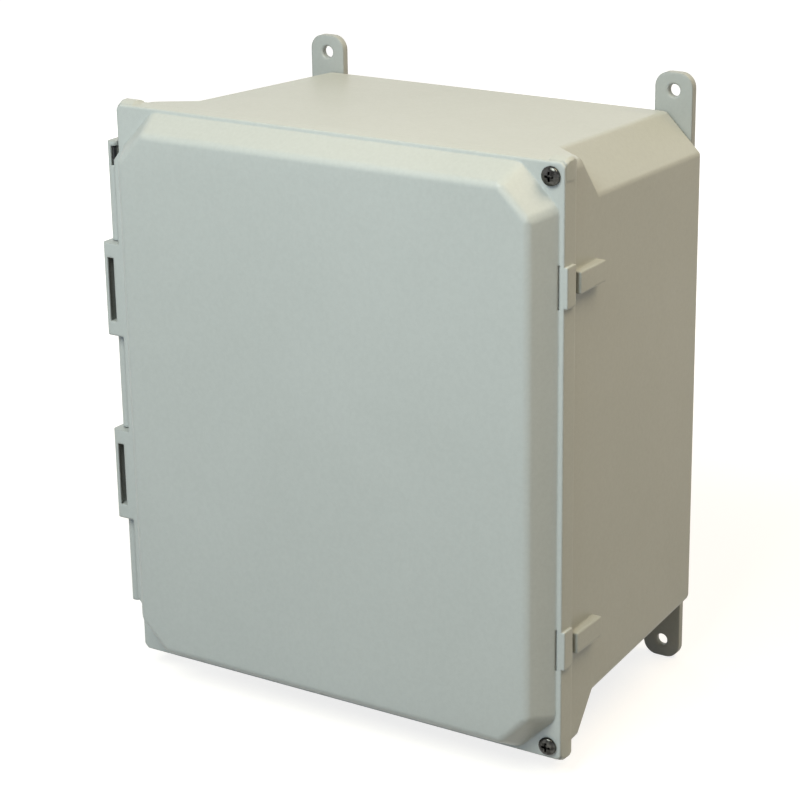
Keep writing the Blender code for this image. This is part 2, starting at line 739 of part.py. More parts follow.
def pan_screw_mesh():
    """Pan head above height zero, shank below it."""
    crown = SCREW_HEAD_HEIGHT - SCREW_RIM_HEIGHT
    profile = [
        (SCREW_HEAD_RADIUS * math.sin(turn), SCREW_RIM_HEIGHT + crown * math.cos(turn))
        for turn in [math.radians(15 * i) for i in range(7)]
    ]
    profile += [
        (SCREW_HEAD_RADIUS, 0.0),
        (SCREW_SHANK_RADIUS, 0.0),
        (SCREW_SHANK_RADIUS, SCREW_TIP_CHAMFER - SCREW_LENGTH),
        (SCREW_SHANK_RADIUS - SCREW_TIP_CHAMFER, -SCREW_LENGTH),
        (0.0, -SCREW_LENGTH),
    ]
    return screw_mesh("pan_screw", profile, SCREW_HEAD_HEIGHT)


def flat_screw_mesh():
    """Countersunk head whose flat top is at height zero."""
    profile = [
        (0.0, 0.0),
        (FOOT_SCREW_HEAD_RADIUS, 0.0),
        (FOOT_SCREW_HEAD_RADIUS, -FOOT_SCREW_RIM),
        (SCREW_SHANK_RADIUS, -FOOT_SCREW_HEAD_HEIGHT),
        (SCREW_SHANK_RADIUS, SCREW_TIP_CHAMFER - FOOT_SCREW_LENGTH),
        (SCREW_SHANK_RADIUS - SCREW_TIP_CHAMFER, -FOOT_SCREW_LENGTH),
        (0.0, -FOOT_SCREW_LENGTH),
    ]
    return screw_mesh("flat_screw", profile, 0.0)


def insert_mesh(name, bore):
    """A brass insert: a bored barrel with a groove round its middle, its mouth at height zero."""
    waist = INSERT_RADIUS - INSERT_FLANK
    third = INSERT_LENGTH / 3
    profile = [
        (INSERT_RADIUS, 0.0),
        (INSERT_RADIUS, -third),
        (waist, -third - INSERT_FLANK),
        (waist, INSERT_FLANK - 2 * third),
        (INSERT_RADIUS, -2 * third),
        (INSERT_RADIUS, -INSERT_LENGTH),
        (bore, -INSERT_LENGTH),
        (bore, 0.0),
    ]
    drawn = turned(name, profile, CUTTERS, ring=True, steps=SMALL_STEPS)
    drawn.data.materials.append(BRASS)
    mesh = frozen_mesh(drawn, name)
    bpy.data.objects.remove(drawn)
    return mesh


def place(name, mesh, location, facing=-1):
    """Puts a turned piece with its local top facing the front (-1) or the back (1)."""
    made = bpy.data.objects.new(name, mesh)
    PARTS.objects.link(made)
    made.location = location
    made.rotation_euler = (-facing * math.pi / 2, 0, 0)
    return made


def make_cover_screws():
    screw = pan_screw_mesh()
    insert = insert_mesh("screw_insert", SCREW_SHANK_RADIUS + SCREW_GAP + SEAT_GAP)
    hole = SCREW_SHANK_RADIUS + SEAT_GAP
    half = RETAINER_THICKNESS / 2
    ring = [(RETAINER_RADIUS, half), (RETAINER_RADIUS, -half), (hole, -half), (hole, half)]
    drawn = turned("retainer", ring, CUTTERS, ring=True)
    drawn.data.materials.append(RETAINER_NYLON)
    retainer = frozen_mesh(drawn, "retainer")
    bpy.data.objects.remove(drawn)
    made = []
    for name, side in SIDES.items():
        z = side * SCREW_Z
        retainer_y = at_depth(SKIRT_DEPTH - SEAT_GAP) - half
        place("screw_insert_" + name, insert, (SCREW_X, at_depth(SHOULDER_DEPTH + SEAT_GAP), z))
        ring_piece = place("screw_retainer_" + name, retainer, (SCREW_X, retainer_y, z))
        screw_piece = place("cover_screw_" + name, screw, (SCREW_X, at_depth(-SEAT_GAP), z))
        made.append((ring_piece, screw_piece))
    return made


def make_hinge_pin():
    low, high = pin_span()
    half = (high - low) / 2 - PIN_GAP
    tip = PIN_RADIUS - PIN_CHAMFER
    profile = [
        (0.0, half),
        (tip, half),
        (PIN_RADIUS, half - PIN_CHAMFER),
        (PIN_RADIUS, PIN_CHAMFER - half),
        (tip, -half),
        (0.0, -half),
    ]
    pin = turned("hinge_pin", profile, PARTS, PIN_PLASTIC, steps=SMALL_STEPS)
    pin.location = (HINGE_X, HINGE_Y, (low + high) / 2)
    soften(pin)


# Mounting feet


def foot_outline():
    """The foot from behind: straight sides, wide round shoulders at the outer end, a rounded inner end."""
    half = FOOT_WIDTH / 2
    shoulder = half - FOOT_CORNER_RADIUS
    outer = FOOT_HOLE_Z - FOOT_SCREW_Z + FOOT_END_BEYOND_HOLE - FOOT_CORNER_RADIUS
    inner = -FOOT_END_BEYOND_SCREW + half / 2
    points = arc((shoulder, outer), FOOT_CORNER_RADIUS, 0, 90, ARC_STEPS - 1)
    points += arc((-shoulder, outer), FOOT_CORNER_RADIUS, 90, 180, ARC_STEPS - 1)
    points += arc((-half / 2, inner), half / 2, 180, 270, ARC_STEPS // 2)
    points += arc((half / 2, inner), half / 2, 270, 360, ARC_STEPS // 2)
    return points


def make_feet():
    screw = flat_screw_mesh()
    panel_insert = insert_mesh("panel_insert", SCREW_SHANK_RADIUS + SCREW_GAP)
    foot_insert = insert_mesh("foot_insert", SCREW_SHANK_RADIUS + SCREW_GAP)
    front, rear = SEAT_GAP, SEAT_GAP + FOOT_THICKNESS
    for name, (x, z) in CORNERS.items():
        cuts = collection("foot_cuts_" + name, CUTTERS)
        foot = flat_outline("foot_" + name, foot_outline(), FOOT_THICKNESS, PARTS, FOOT_PLASTIC)
        foot.rotation_euler = (z * math.pi / 2, 0, 0)
        foot.location = (x * FOOT_X, (front + rear) / 2, z * FOOT_SCREW_Z)
        round_edges(foot, FOOT_EDGE_ROUND, 50)
        hole = (x * FOOT_X, 0.0, z * FOOT_HOLE_Z)
        seat = (x * FOOT_X, 0.0, z * FOOT_SCREW_Z)
        cut_through(cuts, "wall_hole_" + name, hole, FOOT_HOLE_RADIUS, front, rear)
        wide = FOOT_HOLE_RADIUS + FOOT_HOLE_BEVEL
        for plane, inward in ((front, 1), (rear, -1)):
            mouth = (hole[0], plane - inward * FOOT_HOLE_BEVEL, hole[2])
            bottom = (hole[0], plane + inward * FOOT_HOLE_BEVEL, hole[2])
            rod("hole_bevel_" + name, mouth, bottom, wide + FOOT_HOLE_BEVEL, cuts, FOOT_HOLE_RADIUS)
        cut_through(cuts, "screw_hole_" + name, seat, SCREW_SHANK_RADIUS + SCREW_GAP, front, rear)
        sink_bottom = (seat[0], rear - FOOT_SCREW_SUNK - FOOT_SCREW_HEAD_HEIGHT, seat[2])
        sink_top = (seat[0], rear + CUT_OVERRUN, seat[2])
        slope = (FOOT_SCREW_HEAD_RADIUS - SCREW_SHANK_RADIUS) / (FOOT_SCREW_HEAD_HEIGHT - FOOT_SCREW_RIM)
        narrow = SCREW_SHANK_RADIUS + SCREW_GAP
        far = narrow + slope * (sink_top[1] - sink_bottom[1])
        rod("screw_sink_" + name, sink_bottom, sink_top, narrow, cuts, far)
        boolean(foot, "DIFFERENCE", cuts)
        place("foot_screw_" + name, screw, (seat[0], rear - FOOT_SCREW_SUNK, seat[2]), facing=1)
        place("foot_insert_" + name, foot_insert, (seat[0], -SEAT_GAP, seat[2]), facing=1)
        panel_y = -FLOOR_WALL - PANEL_POST_HEIGHT + SEAT_GAP
        place("panel_insert_" + name, panel_insert, (x * PANEL_POST_X, panel_y, z * PANEL_POST_Z))


def cut_through(cuts, name, centre, radius, front, rear):
    start = (centre[0], front - CUT_OVERRUN, centre[2])
    end = (centre[0], rear + CUT_OVERRUN, centre[2])
    rod(name, start, end, radius, cuts)


base = make_base()
cover = make_cover()
gasket = make_gasket()
make_hinge_pin()
make_feet()
carry(cover, gasket)
for retainer_piece, screw_piece in make_cover_screws():
    carry(cover, retainer_piece)
    carry(cover, screw_piece)
for solid in (base, cover, gasket):
    soften(solid)
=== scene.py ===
import math

import bmesh
import bpy
from mathutils import Matrix, Vector


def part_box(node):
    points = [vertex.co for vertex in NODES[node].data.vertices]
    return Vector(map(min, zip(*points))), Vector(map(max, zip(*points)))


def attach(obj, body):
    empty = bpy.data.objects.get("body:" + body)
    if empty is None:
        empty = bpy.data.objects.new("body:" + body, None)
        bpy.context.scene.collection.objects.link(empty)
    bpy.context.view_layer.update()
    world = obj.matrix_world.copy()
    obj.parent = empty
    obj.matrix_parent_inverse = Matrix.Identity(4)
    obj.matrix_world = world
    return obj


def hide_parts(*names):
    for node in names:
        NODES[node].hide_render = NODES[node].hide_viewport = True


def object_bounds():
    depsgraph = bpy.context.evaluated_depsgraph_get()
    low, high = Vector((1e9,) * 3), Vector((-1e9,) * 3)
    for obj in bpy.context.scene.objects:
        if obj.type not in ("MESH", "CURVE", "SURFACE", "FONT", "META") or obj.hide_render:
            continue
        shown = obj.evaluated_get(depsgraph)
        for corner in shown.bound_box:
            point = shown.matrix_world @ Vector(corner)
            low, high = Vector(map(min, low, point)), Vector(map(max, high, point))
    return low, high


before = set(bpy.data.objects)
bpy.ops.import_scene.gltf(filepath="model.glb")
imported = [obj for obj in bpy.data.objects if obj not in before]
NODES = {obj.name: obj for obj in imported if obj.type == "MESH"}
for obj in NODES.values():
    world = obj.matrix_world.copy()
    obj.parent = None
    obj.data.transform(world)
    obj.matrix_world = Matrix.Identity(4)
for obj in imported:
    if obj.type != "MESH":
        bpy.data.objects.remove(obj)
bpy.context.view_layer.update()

CORNERS = ("top_left", "top_right", "bottom_left", "bottom_right")
SIDES = ("upper", "lower")


# Materials

WHITE = (1.0, 1.0, 1.0)
EDGE_SAMPLES = 6


class Nodes:
    """A small helper that adds and joins the nodes of one material."""

    def __init__(self, name):
        self.mat = bpy.data.materials.new(name)
        self.mat.use_nodes = True
        self.tree = self.mat.node_tree
        self.shader = self.tree.nodes["Principled BSDF"]

    def add(self, kind, **values):
        node = self.tree.nodes.new(kind)
        for key, value in values.items():
            setattr(node, key, value)
        return node

    def join(self, out, into):
        self.tree.links.new(out, into)

    def noise(self, vector, scale, detail=4.0, rough=0.55, distortion=0.0):
        node = self.add("ShaderNodeTexNoise")
        node.inputs["Scale"].default_value = scale
        node.inputs["Detail"].default_value = detail
        node.inputs["Roughness"].default_value = rough
        node.inputs["Distortion"].default_value = distortion
        self.join(vector, node.inputs["Vector"])
        return node.outputs["Fac"]

    def ramp(self, fac, stops):
        node = self.add("ShaderNodeValToRGB")
        ramp = node.color_ramp
        while len(ramp.elements) < len(stops):
            ramp.elements.new(0.5)
        for element, (place, color) in zip(ramp.elements, stops):
            element.position = place
            element.color = (*color, 1.0)
        self.join(fac, node.inputs["Fac"])
        return node.outputs["Color"]

    def mix(self, a, b, fac, blend="MIX"):
        node = self.add("ShaderNodeMix", data_type="RGBA", blend_type=blend)
        for value, name in ((fac, "Factor"), (a, "A"), (b, "B")):
            socket = node.inputs[name]
            if isinstance(value, bpy.types.NodeSocket):
                self.join(value, socket)
            elif isinstance(value, float):
                socket.default_value = value
            else:
                socket.default_value = (*value, 1.0)
        return node.outputs["Result"]

    def spread(self, fac, low, high):
        node = self.add("ShaderNodeMapRange")
        node.inputs["To Min"].default_value = low
        node.inputs["To Max"].default_value = high
        self.join(fac, node.inputs["Value"])
        return node.outputs["Result"]

    def soft_edges(self, radius):
        """The surface's direction, rounded over its edges by this radius."""
        node = self.add("ShaderNodeBevel", samples=EDGE_SAMPLES)
        node.inputs["Radius"].default_value = radius
        return node.outputs["Normal"]

    def bump(self, heights, last=None):
        """Chains bumps of (height, strength, distance in metres), on from a direction where one is given."""
        for height, strength, distance in heights:
            node = self.add("ShaderNodeBump")
            node.inputs["Strength"].default_value = strength
            node.inputs["Distance"].default_value = distance
            self.join(height, node.inputs["Height"])
            if last:
                self.join(last, node.inputs["Normal"])
            last = node.outputs["Normal"]
        self.join(last, self.shader.inputs["Normal"])

    def place(self):
        return self.add("ShaderNodeTexCoord").outputs["Object"]

    def crevice(self, distance):
        """1 on open surfaces, falling to 0 in hollows about as deep as this distance: the mask for painted
        shade.
        """
        node = self.add("ShaderNodeAmbientOcclusion", samples=EDGE_SAMPLES)
        node.inputs["Distance"].default_value = distance
        return node.outputs["AO"]


STRAND_SHARE = 0.10
STRAND_GAIN = 1.18
# How far the occlusion reaches for the painted shade in pits and seams, and in deeper hollows, in metres
PIT_REACH = 0.0012
HOLLOW_REACH = 0.010
MOULD_ROUND = 0.0018


def moulded(name, light, dark, gloss=(0.36, 0.48)):
    """Moulded fiberglass: faintly cloudy resin, with short glass strands just under an orange-peel skin, and
    painted shade darkening its seams and hollows.
    """
    n = Nodes(name)
    place = n.place()
    cloud = n.noise(place, 9.0, 3.0, 0.5, 0.4)
    color = n.ramp(cloud, [(0.25, dark), (0.75, light)])
    mottle = n.noise(place, 420.0, 3.0, 0.6, 0.3)
    speckle = n.ramp(mottle, [(0.35, (0.93, 0.93, 0.93)), (0.65, WHITE)])
    color = n.mix(color, speckle, 0.6, "MULTIPLY")
    strand = n.noise(place, 130.0, 2.0, 0.4, 5.0)
    band = n.ramp(strand, [(0.480, (0, 0, 0)), (0.5, (1, 1, 1)), (0.520, (0, 0, 0))])
    faint = n.add("ShaderNodeMath", operation="MULTIPLY")
    faint.inputs[1].default_value = STRAND_SHARE
    n.join(band, faint.inputs[0])
    color = n.mix(color, tuple(min(1.0, c * STRAND_GAIN) for c in light), faint.outputs[0])
    # Painted shade: the colour darkens in small pits and seams
    shade = n.ramp(n.crevice(PIT_REACH), [(0.05, (0.42, 0.44, 0.43)), (0.45, WHITE)])
    color = n.mix(color, shade, 0.75, "MULTIPLY")
    # Painted shade: the colour darkens further in hollows up to about a centimetre deep
    depth = n.ramp(n.crevice(HOLLOW_REACH), [(0.04, (0.22, 0.24, 0.23)), (0.20, WHITE)])
    color = n.mix(color, depth, 1.0, "MULTIPLY")
    n.join(color, n.shader.inputs["Base Color"])
    smear = n.noise(place, 42.0, 6.0, 0.65, 1.2)
    n.join(n.spread(smear, *gloss), n.shader.inputs["Roughness"])
    n.shader.inputs["IOR"].default_value = 1.52
    n.shader.inputs["Specular IOR Level"].default_value = 0.35
    peel = n.noise(place, 1100.0, 2.0, 0.5)
    wave = n.noise(place, 30.0, 2.0, 0.5)
    n.bump([(wave, 0.18, 0.0009), (peel, 0.20, 0.00012)], n.soft_edges(MOULD_ROUND))
    return n.mat


# How dark and how bright the random patches of the steel are, as shares of its colour: painted reflection,
# the light and dark that a polished head mirrors
PATCHES = (0.4, 1.3)


def steel(name, color=(0.070, 0.070, 0.066), roughness=(0.08, 0.22)):
    """Turned stainless steel with fine scratches. Its colour is kept very dark as a painted dark reflection,
    with patches of painted reflection, and painted shade and grime darken its recess.
    """
    n = Nodes(name)
    place = n.place()
    cloud = n.noise(place, 380.0, 3.0)
    dull, bright = (tuple(c * share for c in color) for share in PATCHES)
    # Painted reflection: random darker and brighter patches across the dark steel
    tone = n.ramp(cloud, [(0.38, dull), (0.62, bright)])
    # Painted shade and grime: the colour darkens in the drive recess
    recess_shade_and_grime = n.ramp(n.crevice(PIT_REACH), [(0.35, (0.10, 0.10, 0.10)), (0.85, WHITE)])
    n.join(n.mix(tone, recess_shade_and_grime, 1.0, "MULTIPLY"), n.shader.inputs["Base Color"])
    n.shader.inputs["Metallic"].default_value = 1.0
    scratch = n.noise(place, 2400.0, 3.0, 0.6, 2.0)
    n.join(n.spread(scratch, *roughness), n.shader.inputs["Roughness"])
    n.bump([(scratch, 0.12, 0.00003)])
    return n.mat


def brass(name):
    """Turned brass with dull patches and fine scratches."""
    n = Nodes(name)
    place = n.place()
    cloud = n.noise(place, 500.0, 4.0)
    tone = n.ramp(cloud, [(0.3, (0.46, 0.31, 0.11)), (0.7, (0.70, 0.52, 0.24))])
    n.join(tone, n.shader.inputs["Base Color"])
    n.shader.inputs["Metallic"].default_value = 1.0
    n.join(n.spread(n.noise(place, 1800.0, 2.0), 0.22, 0.44), n.shader.inputs["Roughness"])
    n.bump([(n.noise(place, 2600.0, 2.0, 0.5, 1.5), 0.15, 0.00003)])
    return n.mat


def foam(name):
    """Closed-cell foam: matt black with small pits."""
    n = Nodes(name)
    place = n.place()
    cells = n.add("ShaderNodeTexVoronoi")
    cells.inputs["Scale"].default_value = 1500.0
    n.join(place, cells.inputs["Vector"])
    cloud = n.noise(place, 90.0, 4.0)
    tone = n.ramp(cloud, [(0.3, (0.016, 0.016, 0.017)), (0.7, (0.040, 0.040, 0.041))])
    n.join(tone, n.shader.inputs["Base Color"])
    n.join(n.spread(cloud, 0.74, 0.92), n.shader.inputs["Roughness"])
    n.bump([(cells.outputs["Distance"], 0.5, 0.0002)])
    return n.mat


def plastic(name, light, dark, roughness):
    """Plain moulded plastic: slightly cloudy, with a fine grain."""
    n = Nodes(name)
    place = n.place()
    tone = n.noise(place, 140.0, 4.0)
    n.join(n.ramp(tone, [(0.3, dark), (0.7, light)]), n.shader.inputs["Base Color"])
    n.join(n.spread(n.noise(place, 420.0, 3.0), *roughness), n.shader.inputs["Roughness"])
    n.bump([(n.noise(place, 1600.0, 2.0), 0.2, 0.00006)])
    return n.mat


SHELL = moulded("fiberglass_shell", (0.485, 0.500, 0.475), (0.462, 0.478, 0.452))
FOOT = moulded("fiberglass_foot", (0.420, 0.435, 0.418), (0.392, 0.408, 0.392), (0.38, 0.50))
STAINLESS = steel("stainless_steel")
BRASS = brass("insert_brass")
FOAM = foam("gasket_foam")
PIN = plastic("pin_black", (0.030, 0.031, 0.033), (0.014, 0.014, 0.015), (0.32, 0.50))
NYLON = plastic("retainer_nylon", (0.80, 0.79, 0.74), (0.66, 0.65, 0.60), (0.38, 0.55))


# The CAD nodes: each keeps its own mesh, gets its material, and shades its rounded edges as curves

# Edges sharper than these angles, in degrees, stay sharp
MOULDED_ANGLE = 40.0
TURNED_ANGLE = 35.0
SAME_POINT = 1e-6
EVEN_WEIGHT = 80


def shading_group():
    """Smooth faces, with an edge left sharp where two faces meet at more than the given angle."""
    group = bpy.data.node_groups.new("smooth_shading", "GeometryNodeTree")
    group.interface.new_socket("Geometry", in_out="INPUT", socket_type="NodeSocketGeometry")
    limit = group.interface.new_socket("Angle", in_out="INPUT", socket_type="NodeSocketFloat")
    limit.default_value = math.radians(TURNED_ANGLE)
    group.interface.new_socket("Geometry", in_out="OUTPUT", socket_type="NodeSocketGeometry")
    nodes, links = group.nodes, group.links
    start = nodes.new("NodeGroupInput")
    end = nodes.new("NodeGroupOutput")
    plain = nodes.new("GeometryNodeRemoveAttribute")
    plain.inputs["Name"].default_value = "custom_normal"
    smooth = nodes.new("GeometryNodeSetShadeSmooth")
    smooth.domain = "FACE"
    smooth.inputs["Shade Smooth"].default_value = True
    angle = nodes.new("GeometryNodeInputMeshEdgeAngle")
    over = nodes.new("FunctionNodeCompare")
    over.data_type = "FLOAT"
    over.operation = "GREATER_THAN"
    crease = nodes.new("GeometryNodeSetShadeSmooth")
    crease.domain = "EDGE"
    crease.inputs["Shade Smooth"].default_value = False
    links.new(start.outputs["Geometry"], plain.inputs["Geometry"])
    links.new(plain.outputs["Geometry"], smooth.inputs["Geometry"])
    links.new(smooth.outputs["Geometry"], crease.inputs["Geometry"])
    links.new(angle.outputs["Unsigned Angle"], over.inputs["A"])
    links.new(start.outputs["Angle"], over.inputs["B"])
    links.new(over.outputs["Result"], crease.inputs["Selection"])
    links.new(crease.outputs["Geometry"], end.inputs["Geometry"])
    return group, limit.identifier


SHADING, SHADING_ANGLE = shading_group()


def dress(name, material, sharp=MOULDED_ANGLE):
    """Gives a CAD node its material, and smooth shading where its faces meet at less than the sharp angle."""
    node = NODES[name]
    if not node.material_slots:
        node.data.materials.append(material)
    for holder in node.material_slots:
        holder.material = material
    joined = node.modifiers.new("joined_points", "WELD")
    joined.merge_threshold = SAME_POINT
    shading = node.modifiers.new("smooth_shading", "NODES")
    shading.node_group = SHADING
    shading[SHADING_ANGLE] = math.radians(sharp)
    even = node.modifiers.new("even_shading", "WEIGHTED_NORMAL")
    even.keep_sharp = True
    even.weight = EVEN_WEIGHT


for shell in ("base", "cover"):
    dress(shell, SHELL)
dress("hinge_pin", PIN)
for corner in CORNERS:
    dress("foot_" + corner, FOOT)
    dress("foot_screw_" + corner, STAINLESS, TURNED_ANGLE)
    dress("foot_insert_" + corner, BRASS, TURNED_ANGLE)
    dress("panel_insert_" + corner, BRASS, TURNED_ANGLE)
for side in SIDES:
    dress("screw_insert_" + side, BRASS, TURNED_ANGLE)
    dress("screw_retainer_" + side, NYLON, TURNED_ANGLE)


# Pieces with more shape than their CAD nodes: the soft gasket and the threaded cover screws


def finished(name, bm, body, node, material, sharp):
    """Makes a piece of the mesh, smooth but for its sharp edges, that rides on body and replaces node."""
    bmesh.ops.recalc_face_normals(bm, faces=bm.faces)
    mesh = bpy.data.meshes.new(name)
    bm.to_mesh(mesh)
    bm.free()
    mesh.shade_smooth()
    mesh.set_sharp_from_angle(angle=math.radians(sharp))
    mesh.materials.append(material)
    piece = bpy.data.objects.new(name, mesh)
    bpy.context.scene.collection.objects.link(piece)
    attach(piece, body)
    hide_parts(node)


GASKET_WIDTH = 0.0036
GASKET_CORNER_CUT = 0.0203
GASKET_ROUND = 0.0007
GASKET_DENT = 0.0003
GASKET_DENT_WIDTH = 0.0020
GASKET_ROUND_STEPS = 4
GASKET_DENT_STEPS = 8
GASKET_SHARP = 44.0


def gasket_section(thickness):
    """(inwards, backwards) points round the strip: rounded corners, and the dent of the base's tongue."""
    points = []
    for across, deep, turn in ((0, 0, 180), (1, 0, 270), (1, 1, 0), (0, 1, 90)):
        centre_u = GASKET_ROUND if not across else GASKET_WIDTH - GASKET_ROUND
        centre_v = GASKET_ROUND if not deep else thickness - GASKET_ROUND
        for step in range(GASKET_ROUND_STEPS + 1):
            angle = math.radians(turn + 90 * step / GASKET_ROUND_STEPS)
            u = centre_u + GASKET_ROUND * math.cos(angle)
            v = centre_v + GASKET_ROUND * math.sin(angle)
            points.append((u, v))
        if (across, deep) == (1, 1):
            for step in range(1, GASKET_DENT_STEPS):
                along = 1 - 2 * step / GASKET_DENT_STEPS
                dip = GASKET_DENT * math.cos(along * math.pi / 2) ** 2
                points.append(((GASKET_WIDTH + along * GASKET_DENT_WIDTH) / 2, thickness - dip))
    return points


def make_gasket():
    """The strip runs round as an octagon: a rectangle whose corners are cut at 45 degrees."""
    low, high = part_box("gasket")
    half_width = (high[0] - low[0]) / 2
    half_height = (high[2] - low[2]) / 2
    centre = ((high[0] + low[0]) / 2, (high[2] + low[2]) / 2)
    bm = bmesh.new()
    rings = []
    for inwards, backwards in gasket_section(high[1] - low[1]):
        w, h = half_width - inwards, half_height - inwards
        c = GASKET_CORNER_CUT - inwards * (2 - math.sqrt(2))
        quarter = [(w, h - c), (w - c, h)]
        half = quarter + [(-x, z) for x, z in reversed(quarter)]
        outline = half + [(-x, -z) for x, z in half]
        y = low[1] + backwards
        rings.append([bm.verts.new((centre[0] + x, y, centre[1] + z)) for x, z in outline])
    for ring, after in zip(rings, rings[1:] + rings[:1]):
        for i in range(len(ring)):
            j = (i + 1) % len(ring)
            bm.faces.new((ring[i], ring[j], after[j], after[i]))
    finished("gasket_strip", bm, "cover", "gasket", FOAM, GASKET_SHARP)


SCREW_SHANK = 0.0021
SCREW_ROOT = 0.00172
SCREW_HEAD = 0.0053
SCREW_HEAD_HEIGHT = 0.0030
SCREW_RIM = 0.0011
SCREW_RIM_ROUND = 0.0003
SCREW_PITCH = 0.0008
SCREW_PLAIN = 0.0062
SCREW_TURN_STEPS = 48
SCREW_CROWN_STEPS = 14
SCREW_RIM_STEPS = 3
SCREW_PITCH_STEPS = 6
SCREW_SHARP = 32.0
SHORTEST_EDGE = 0.000002
RECESS_LENGTH = 0.0060
RECESS_WIDTH = 0.0014
RECESS_DEPTH = 0.0016
# Length and width of each blade at the floor of the recess and above the head, as shares of its size
RECESS_FLOOR = (0.62, 0.8)
RECESS_MOUTH = (1.18, 1.1)


def cross_cutter(top):
    """The drive recess: two crossed blades whose ends lean inwards, as a driver's tip does."""
    bm = bmesh.new()
    rise = top + SCREW_RIM
    for turn in (0, 90):
        rows = []
        for height, (longer, wider) in ((top - RECESS_DEPTH, RECESS_FLOOR), (rise, RECESS_MOUTH)):
            x, y = RECESS_LENGTH / 2 * longer, RECESS_WIDTH / 2 * wider
            corners = [Vector((sx * x, sy * y, height)) for sx, sy in ((1, 1), (-1, 1), (-1, -1), (1, -1))]
            spin = Matrix.Rotation(math.radians(turn), 3, "Z")
            rows.append([bm.verts.new(spin @ corner) for corner in corners])
        bm.faces.new(rows[0])
        bm.faces.new(rows[1])
        for i in range(4):
            j = (i + 1) % 4
            bm.faces.new((rows[0][i], rows[0][j], rows[1][j], rows[1][i]))
    bmesh.ops.recalc_face_normals(bm, faces=bm.faces)
    mesh = bpy.data.meshes.new("cross_cutter")
    bm.to_mesh(mesh)
    bm.free()
    cutter = bpy.data.objects.new("cross_cutter", mesh)
    bpy.context.scene.collection.objects.link(cutter)
    return cutter


def screw_radius(height, turn, length):
    """Radius of the shank at this height: plain, then a thread that fades in and ends in a chamfer."""
    depth = -height
    if depth < SCREW_PLAIN:
        return SCREW_SHANK
    phase = (depth / SCREW_PITCH + turn) % 1.0
    flank = 1 - abs(2 * phase - 1)
    fade = min(1.0, (depth - SCREW_PLAIN) / SCREW_PITCH)
    thread = SCREW_SHANK - (SCREW_SHANK - SCREW_ROOT) * (1 - flank) * fade
    return min(thread, SCREW_ROOT + length - depth)


def make_cover_screw(side):
    """A pan-head screw with its cross recess and thread, about an axis along Y, head to the front."""
    low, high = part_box("cover_screw_" + side)
    x, z = (low[0] + high[0]) / 2, (low[2] + high[2]) / 2
    under_head = low[1] + SCREW_HEAD_HEIGHT
    length = high[1] - under_head
    crown = SCREW_HEAD_HEIGHT - SCREW_RIM
    bm = bmesh.new()
    profile = []
    for step in range(1, SCREW_CROWN_STEPS + 1):
        turn = math.radians(90 * step / SCREW_CROWN_STEPS)
        profile.append((SCREW_HEAD * math.sin(turn), SCREW_RIM + crown * math.cos(turn)))
    for step in range(SCREW_RIM_STEPS + 1):
        turn = math.radians(90 * step / SCREW_RIM_STEPS)
        radius = SCREW_HEAD - SCREW_RIM_ROUND * (1 - math.cos(turn))
        profile.append((radius, SCREW_RIM_ROUND * (1 - math.sin(turn))))
    profile.append((SCREW_SHANK, 0.0))
    rows = [[point] * SCREW_TURN_STEPS for point in profile]
    spaces = int(length / SCREW_PITCH * SCREW_PITCH_STEPS)
    for space in range(1, spaces + 1):
        height = -length * space / spaces
        turns = [step / SCREW_TURN_STEPS for step in range(SCREW_TURN_STEPS)]
        rows.append([(screw_radius(height, turn, length), height) for turn in turns])
    rings = []
    for row in rows:
        ring = []
        for step, (radius, height) in enumerate(row):
            angle = 2 * math.pi * step / SCREW_TURN_STEPS
            ring.append(bm.verts.new((radius * math.cos(angle), radius * math.sin(angle), height)))
        rings.append(ring)
    for ring, after in zip(rings, rings[1:]):
        for i in range(SCREW_TURN_STEPS):
            j = (i + 1) % SCREW_TURN_STEPS
            bm.faces.new((ring[i], ring[j], after[j], after[i]))
    crest = bm.verts.new((0.0, 0.0, SCREW_HEAD_HEIGHT))
    for i in range(SCREW_TURN_STEPS):
        bm.faces.new((crest, rings[0][i], rings[0][(i + 1) % SCREW_TURN_STEPS]))
    bm.faces.new(rings[-1])
    bmesh.ops.recalc_face_normals(bm, faces=bm.faces)
    solid = bpy.data.meshes.new("screw_solid")
    bm.to_mesh(solid)
    bm.free()
    drawn = bpy.data.objects.new("screw_solid", solid)
    bpy.context.scene.collection.objects.link(drawn)
    cutter = cross_cutter(SCREW_HEAD_HEIGHT)
    cut = drawn.modifiers.new("recess", "BOOLEAN")
    cut.operation = "DIFFERENCE"
    cut.solver = "EXACT"
    cut.use_self = True
    cut.object = cutter
    bpy.context.view_layer.update()
    graph = bpy.context.evaluated_depsgraph_get()
    made = bpy.data.meshes.new_from_object(drawn.evaluated_get(graph))
    bpy.data.objects.remove(drawn)
    bpy.data.objects.remove(cutter)
    bm = bmesh.new()
    bm.from_mesh(made)
    facing = Matrix.Translation((x, under_head, z)) @ Matrix.Rotation(math.radians(90), 4, "X")
    bmesh.ops.dissolve_degenerate(bm, dist=SHORTEST_EDGE, edges=bm.edges)
    bmesh.ops.transform(bm, matrix=facing, verts=bm.verts)
    body = "cover_screw_" + side
    finished("threaded_" + body, bm, body, body, STAINLESS, SCREW_SHARP)


make_gasket()
for side in SIDES:
    make_cover_screw(side)


# Camera, light and floor

# The camera, as fitted to the photograph: the frame in pixels, the fitted model's unit in metres, the
# azimuth, elevation and roll in radians, the model's place before the camera in that unit, the focal length
# and centre in pixels, where the fitted model's origin lies along Y, and the sensor's width in millimetres
PHOTO = 800.0
SCALE = 0.290
AZ, EL, ROLL = 0.5702376, 0.3374099, -0.0145049
OFFSET = Vector((-0.1388735, -0.0417555, 4.6795141))
FOCAL, CENTRE = 2427.279, (407.246, 406.604)
FLANGE_Y = -0.1745
SENSOR = 36.0

